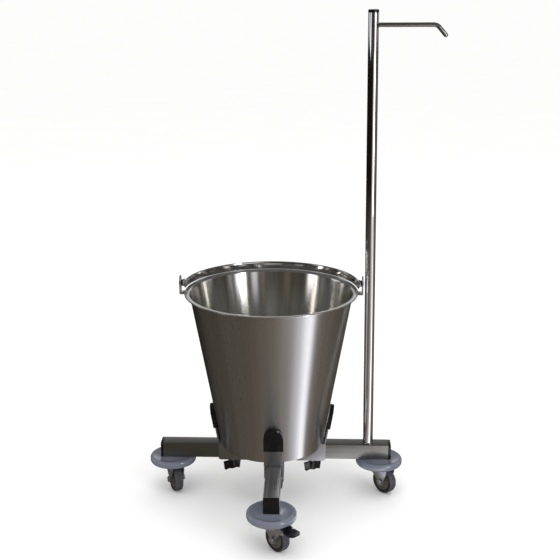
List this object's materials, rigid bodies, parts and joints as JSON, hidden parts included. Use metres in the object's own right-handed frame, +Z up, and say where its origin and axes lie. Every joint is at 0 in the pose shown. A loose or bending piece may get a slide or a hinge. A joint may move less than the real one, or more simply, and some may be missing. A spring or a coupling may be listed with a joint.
{
  "type": "waste bucket trolley",
  "caption": "Conical steel bucket with swing bail, held by clamp brackets on a T-shaped tube trolley with swivel casters, bumper discs and a hanging pole with hook arm.",
  "frame": {"origin": "bottom centre of the whole trolley, on the floor", "axes": "+X to the right along the cross beam towards the pole, -Y along the front leg, +Z up"},
  "size_m": [0.5808, 0.4474, 0.9638],
  "materials": {
    "brushed_steel": "vertically brushed outside, bright inside",
    "satin_steel": "satin ground tube and folded sheet",
    "polished_steel": "mirror polished",
    "zinc_steel": "bright zinc plated pressings and fasteners",
    "black_plastic": "glossy black moulding",
    "bumper_plastic": "glossy pale blue-grey bumper",
    "tyre_rubber": "dark grey non-marking tread",
    "hub_plastic": "brownish grey moulded centre"
  },
  "bodies": {
    "frame": {"cross_beam": "satin_steel", "front_leg": "satin_steel", "end_cap_left": "black_plastic", "end_cap_right": "black_plastic", "end_cap_front": "black_plastic", "pole": "polished_steel", "pole_cap": "black_plastic", "hook_arm": "polished_steel", "bumper_disc_left": "bumper_plastic", "king_pin_left": "zinc_steel", "race_cup_left": "zinc_steel", "bumper_disc_right": "bumper_plastic", "king_pin_right": "zinc_steel", "race_cup_right": "zinc_steel", "bumper_disc_front": "bumper_plastic", "king_pin_front": "zinc_steel", "race_cup_front": "zinc_steel"},
    "bucket": {"bucket_body": "brushed_steel", "bucket_ear_left": "polished_steel", "bucket_ear_right": "polished_steel", "bail_pin_left": "zinc_steel", "bail_pin_right": "zinc_steel", "bail_washer_left": "black_plastic", "bail_washer_right": "black_plastic"},
    "bail": {"bail": "polished_steel"},
    "bracket_left": {"clamp_bracket_left": "satin_steel", "grip_cap_left": "black_plastic", "clamp_nut_left": "zinc_steel"},
    "clamp_screw_left": {"clamp_stud_left": "zinc_steel", "wing_knob_left": "black_plastic"},
    "bracket_right": {"clamp_bracket_right": "satin_steel", "grip_cap_right": "black_plastic", "clamp_nut_right": "zinc_steel"},
    "clamp_screw_right": {"clamp_stud_right": "zinc_steel", "wing_knob_right": "black_plastic"},
    "bracket_front": {"clamp_bracket_front": "satin_steel", "grip_cap_front": "black_plastic", "clamp_nut_front": "zinc_steel"},
    "clamp_screw_front": {"clamp_stud_front": "zinc_steel", "wing_knob_front": "black_plastic"},
    "swivel_left": {"caster_fork_left": "zinc_steel", "axle_bolt_left": "zinc_steel", "axle_nut_left": "zinc_steel"},
    "wheel_left": {"tyre_left": "tyre_rubber", "wheel_hub_left": "hub_plastic"},
    "swivel_right": {"caster_fork_right": "zinc_steel", "axle_bolt_right": "zinc_steel", "axle_nut_right": "zinc_steel"},
    "wheel_right": {"tyre_right": "tyre_rubber", "wheel_hub_right": "hub_plastic"},
    "swivel_front": {"caster_fork_front": "zinc_steel", "axle_bolt_front": "zinc_steel", "axle_nut_front": "zinc_steel", "pedal_pin": "zinc_steel"},
    "wheel_front": {"tyre_front": "tyre_rubber", "wheel_hub_front": "hub_plastic"},
    "pedal": {"brake_pedal": "black_plastic"}
  },
  "joints": [
    {"name": "bucket_lift", "type": "slide", "parent": "frame", "child": "bucket", "axis": [0, 0, 1], "range_m": [0, 0.3]},
    {"name": "bail_swing", "type": "hinge", "parent": "bucket", "child": "bail", "pos_m": [-0.04222, 0.05324, 0.4355], "axis": [1, 0, 0], "range_deg": [0, 184]},
    {"name": "bracket_slide_left", "type": "slide", "parent": "frame", "child": "bracket_left", "axis": [-1, 0, 0], "range_m": [0, 0.035]},
    {"name": "clamp_turn_left", "type": "hinge", "parent": "bracket_left", "child": "clamp_screw_left", "pos_m": [-0.12402, 0.06124, 0.056], "axis": [0, 0, 1], "range_deg": [-540, 0]},
    {"name": "bracket_slide_right", "type": "slide", "parent": "frame", "child": "bracket_right", "axis": [1, 0, 0], "range_m": [0, 0.035]},
    {"name": "clamp_turn_right", "type": "hinge", "parent": "bracket_right", "child": "clamp_screw_right", "pos_m": [0.03958, 0.06124, 0.056], "axis": [0, 0, 1], "range_deg": [-540, 0]},
    {"name": "bracket_slide_front", "type": "slide", "parent": "frame", "child": "bracket_front", "axis": [0, -1, 0], "range_m": [0, 0.035]},
    {"name": "clamp_turn_front", "type": "hinge", "parent": "bracket_front", "child": "clamp_screw_front", "pos_m": [-0.03522, -0.02856, 0.056], "axis": [0, 0, 1], "range_deg": [-540, 0]},
    {"name": "swivel_turn_left", "type": "hinge", "parent": "frame", "child": "swivel_left", "pos_m": [-0.24422, 0.06124, 0.052], "axis": [0, 0, 1], "continuous": true},
    {"name": "wheel_roll_left", "type": "hinge", "parent": "swivel_left", "child": "wheel_left", "pos_m": [-0.23771, 0.04662, 0.025], "axis": [0.9135, 0.4067, 0], "continuous": true},
    {"name": "swivel_turn_right", "type": "hinge", "parent": "frame", "child": "swivel_right", "pos_m": [0.17378, 0.06124, 0.052], "axis": [0, 0, 1], "continuous": true},
    {"name": "wheel_roll_right", "type": "hinge", "parent": "swivel_right", "child": "wheel_right", "pos_m": [0.18509, 0.04992, 0.025], "axis": [0.7071, 0.7071, 0], "continuous": true},
    {"name": "swivel_turn_front", "type": "hinge", "parent": "frame", "child": "swivel_front", "pos_m": [-0.03522, -0.17176, 0.052], "axis": [0, 0, 1], "continuous": true},
    {"name": "wheel_roll_front", "type": "hinge", "parent": "swivel_front", "child": "wheel_front", "pos_m": [-0.02391, -0.18308, 0.025], "axis": [0.7071, 0.7071, 0], "continuous": true},
    {"name": "brake_press", "type": "hinge", "parent": "swivel_front", "child": "pedal", "pos_m": [-0.00764, -0.19934, 0.0465], "axis": [0.7071, 0.7071, 0], "range_deg": [0, 10]}
  ]
}
